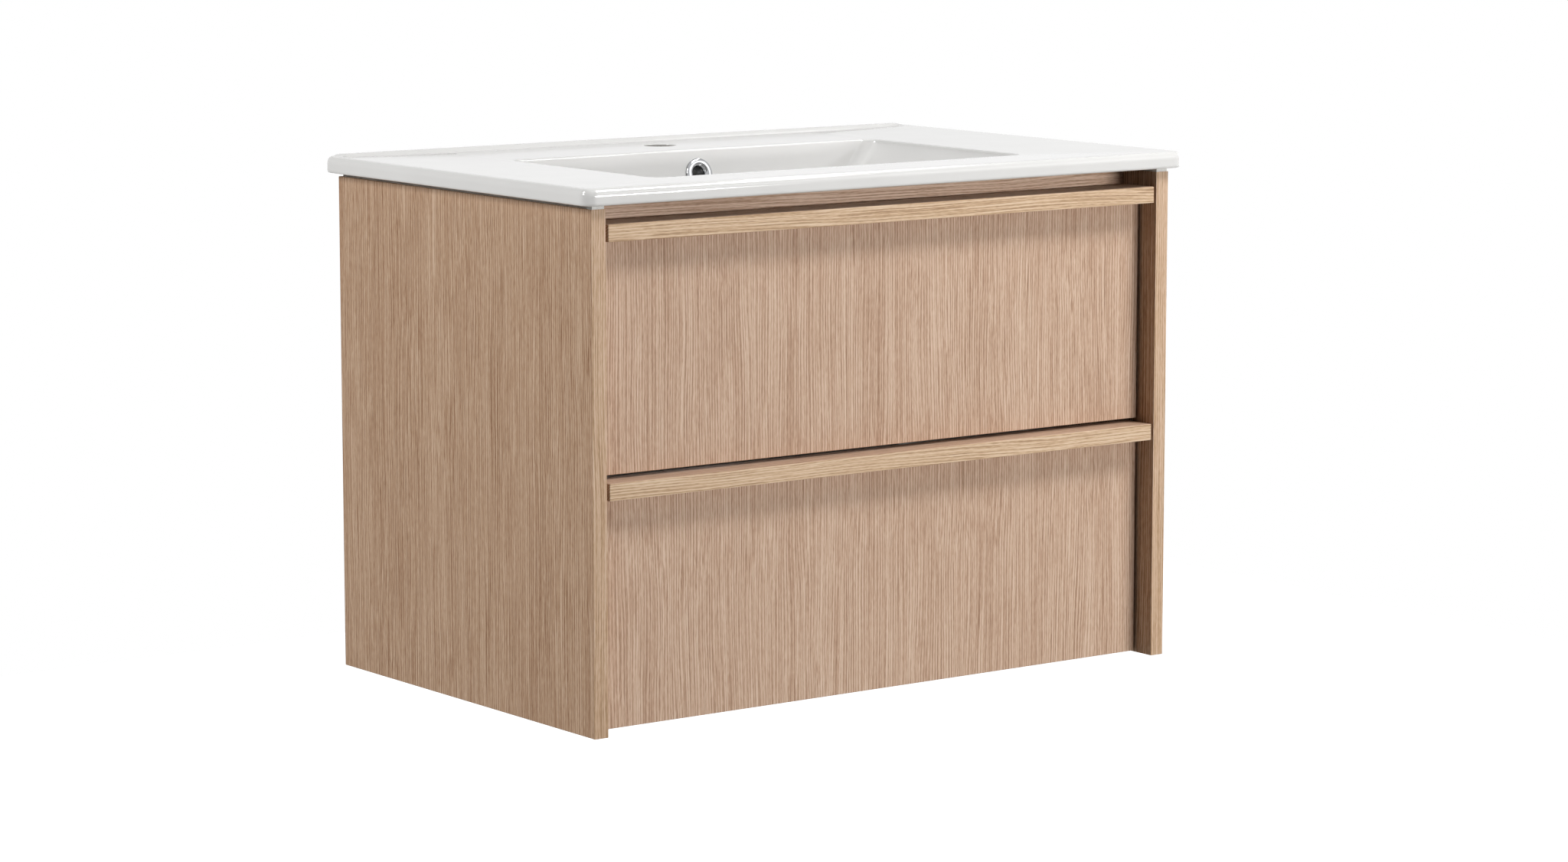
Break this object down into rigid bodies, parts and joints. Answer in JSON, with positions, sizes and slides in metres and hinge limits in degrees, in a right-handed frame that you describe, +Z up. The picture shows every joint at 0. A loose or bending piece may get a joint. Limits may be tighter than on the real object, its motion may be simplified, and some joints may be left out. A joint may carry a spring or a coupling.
{
  "type": "wall-hung vanity cabinet",
  "caption": "Wall-hung oak-faced vanity cabinet with stacked drawers pulled by grip strips, under a white ceramic basin top with a rectangular bowl, tap hole and overflow.",
  "frame": {"origin": "on the wall plane, midway between the wall bar's outer screw holes", "axes": "+Z up, the drawers face -Y, +X to the right when seen from the front"},
  "size_m": [0.75, 0.483, 0.534],
  "materials": {
    "oak_board": "matt light-oak grain",
    "oak_edge": "matt light-oak grain",
    "drawer_board": "matt white melamine",
    "beech_dowel": "plain",
    "glazed_ceramic": "gloss white glaze",
    "chrome": "polished",
    "zinc_steel": "zinc plated",
    "zinc_fitting": "zinc die-cast",
    "nylon": "matt",
    "spacer_rubber": "matt",
    "white_bedding": "matt"
  },
  "bodies": {
    "carcass": {"left_side_panel": "oak_board", "right_side_panel": "oak_board", "left_panel_edge_band": "oak_edge", "right_panel_edge_band": "oak_edge", "bottom_panel": "oak_board", "front_fascia_rail": "oak_board", "rear_hanging_rail": "oak_board", "rear_lower_rail": "oak_board", "cam_bolts": "zinc_fitting", "cam_locks": "zinc_fitting", "carcass_dowels": "beech_dowel", "cabinet_hanging_bar": "zinc_steel", "wall_hanging_bar": "zinc_steel", "hanging_bar_screws": "zinc_steel", "wall_spacers": "spacer_rubber", "basin": "glazed_ceramic", "overflow_ring": "chrome", "basin_bedding": "white_bedding", "upper_left_cabinet_rail": "zinc_steel", "upper_right_cabinet_rail": "zinc_steel", "lower_left_cabinet_rail": "zinc_steel", "lower_right_cabinet_rail": "zinc_steel", "cabinet_rail_screws": "zinc_steel"},
    "upper_drawer": {"upper_drawer_front": "oak_board", "upper_grip_strip": "oak_board", "upper_grip_dowels": "beech_dowel", "upper_front_bolts": "zinc_fitting", "upper_front_cams": "zinc_fitting", "upper_drawer_left_side": "drawer_board", "upper_drawer_right_side": "drawer_board", "upper_drawer_bottom": "drawer_board", "upper_box_screws": "zinc_steel", "upper_left_drawer_rail": "zinc_steel", "upper_right_drawer_rail": "zinc_steel", "upper_drawer_rail_screws": "zinc_steel", "upper_drawer_left_back": "drawer_board", "upper_drawer_right_back": "drawer_board", "upper_trap_left_cheek": "drawer_board", "upper_trap_right_cheek": "drawer_board", "upper_trap_bridge": "drawer_board"},
    "upper_middle_rails": {"upper_left_middle_rail": "zinc_steel", "upper_right_middle_rail": "zinc_steel", "upper_rail_glides": "nylon"},
    "lower_drawer": {"lower_drawer_front": "oak_board", "lower_grip_strip": "oak_board", "lower_grip_dowels": "beech_dowel", "lower_front_bolts": "zinc_fitting", "lower_front_cams": "zinc_fitting", "lower_drawer_left_side": "drawer_board", "lower_drawer_right_side": "drawer_board", "lower_drawer_bottom": "drawer_board", "lower_box_screws": "zinc_steel", "lower_left_drawer_rail": "zinc_steel", "lower_right_drawer_rail": "zinc_steel", "lower_drawer_rail_screws": "zinc_steel", "lower_drawer_back": "drawer_board"},
    "lower_middle_rails": {"lower_left_middle_rail": "zinc_steel", "lower_right_middle_rail": "zinc_steel", "lower_rail_glides": "nylon"}
  },
  "joints": [
    {"name": "upper_drawer_slide", "type": "slide", "parent": "carcass", "child": "upper_drawer", "axis": [0, -1, 0], "range_m": [0, 0.35]},
    {"name": "upper_middle_slide", "type": "slide", "parent": "carcass", "child": "upper_middle_rails", "axis": [0, -1, 0], "range_m": [0, 0.175]},
    {"name": "lower_drawer_slide", "type": "slide", "parent": "carcass", "child": "lower_drawer", "axis": [0, -1, 0], "range_m": [0, 0.35]},
    {"name": "lower_middle_slide", "type": "slide", "parent": "carcass", "child": "lower_middle_rails", "axis": [0, -1, 0], "range_m": [0, 0.175]}
  ],
  "couplings": [
    {"joint": "upper_middle_slide", "follows": "upper_drawer_slide", "ratio": 0.5},
    {"joint": "lower_middle_slide", "follows": "lower_drawer_slide", "ratio": 0.5}
  ]
}
